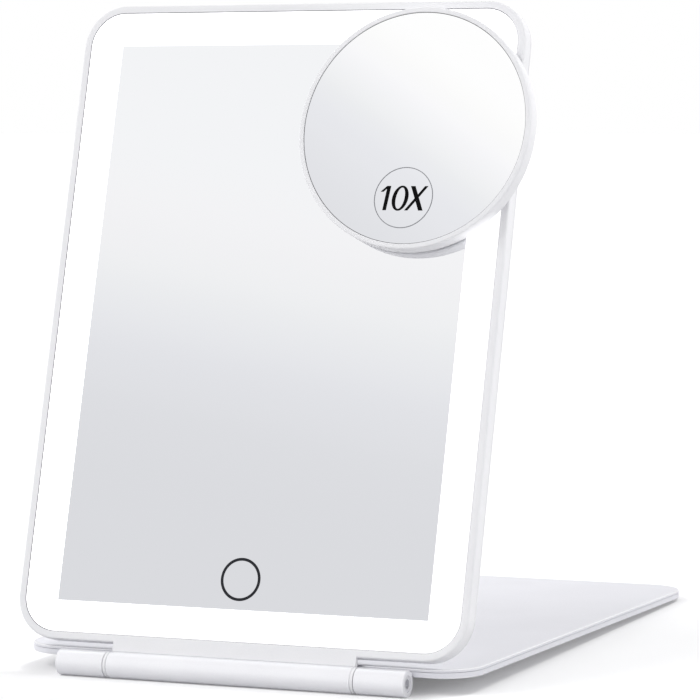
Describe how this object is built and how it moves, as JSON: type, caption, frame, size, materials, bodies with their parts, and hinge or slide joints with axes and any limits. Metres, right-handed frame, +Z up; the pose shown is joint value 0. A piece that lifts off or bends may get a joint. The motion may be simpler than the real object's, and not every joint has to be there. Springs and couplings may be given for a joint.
{
  "type": "lighted travel mirror",
  "caption": "Folding travel mirror: thin rectangular panel with a lit border and touch ring, hinged along its foot to a flat cover that stands it up, with a round magnifier stuck on the glass.",
  "frame": {"origin": "centre of the object's footprint on the surface that it stands on, at the middle of the box's base", "axes": "+Z up from the surface, +Y towards the back where the cover lies, +X to the right of someone facing the glass"},
  "size_m": [0.1862, 0.253, 0.2424],
  "materials": {
    "case_plastic": "satin moulded ABS, cool white",
    "mirror_glass": "silvered float glass",
    "light_band": "frosted white light guide, lit",
    "ring_print": "screen print, near black",
    "sensor_foil": "copper foil",
    "inner_plastic": "moulded white",
    "lamp_strip": "white flexible board with lamps",
    "battery_pouch": "laminated foil pouch",
    "circuit_board": "solder mask",
    "plated_steel": "nickel plated",
    "wire_red": "PVC sleeve",
    "wire_black": "PVC sleeve",
    "barrel_metal": "bead-blasted, silver white",
    "cover_plastic": "satin, silver white",
    "washer_nylon": "moulded nylon",
    "foot_rubber": "matt silicone, pale grey",
    "cup_silicone": "clear silicone"
  },
  "bodies": {
    "mirror_panel": {"front_frame": "case_plastic", "rear_cover": "case_plastic", "mirror_glass": "mirror_glass", "light_band": "light_band", "touch_ring": "ring_print", "touch_sensor": "sensor_foil", "chassis": "inner_plastic", "led_strip_left": "lamp_strip", "led_strip_right": "lamp_strip", "led_strip_top": "lamp_strip", "led_strip_bottom": "lamp_strip", "battery": "battery_pouch", "main_board": "circuit_board", "charging_socket": "plated_steel", "battery_lead_red": "wire_red", "battery_lead_black": "wire_black", "strip_lead": "wire_red", "case_magnet_left": "plated_steel", "case_magnet_right": "plated_steel", "case_screw_1": "plated_steel", "case_screw_2": "plated_steel", "case_screw_3": "plated_steel", "case_screw_4": "plated_steel", "hinge_centre": "barrel_metal", "tang_screw_1": "plated_steel", "tang_screw_2": "plated_steel", "tang_screw_3": "plated_steel", "friction_sleeve_left": "plated_steel", "friction_sleeve_right": "plated_steel"},
    "stand_cover": {"cover_skin": "cover_plastic", "cover_shell": "cover_plastic", "cover_magnet_left": "plated_steel", "cover_magnet_right": "plated_steel", "rubber_foot_left": "foot_rubber", "rubber_foot_right": "foot_rubber", "knuckle_left": "barrel_metal", "knuckle_right": "barrel_metal", "hinge_pin_left": "plated_steel", "hinge_pin_right": "plated_steel", "hinge_washer_left": "washer_nylon", "hinge_washer_right": "washer_nylon", "grub_screw_left": "plated_steel", "grub_screw_right": "plated_steel"},
    "magnifier": {"magnifier_housing": "case_plastic", "magnifier_rim": "case_plastic", "magnifier_glass": "mirror_glass", "suction_cup": "cup_silicone"}
  },
  "joints": [
    {"name": "cover_hinge", "type": "hinge", "parent": "mirror_panel", "child": "stand_cover", "pos_m": [-0.00415, -0.12167, 0.0048], "axis": [1, 0, 0], "range_deg": [-279, 4]},
    {"name": "magnifier_pull_off", "type": "slide", "parent": "mirror_panel", "child": "magnifier", "axis": [0, -0.9583, 0.2857], "range_m": [0, 0.01]}
  ]
}
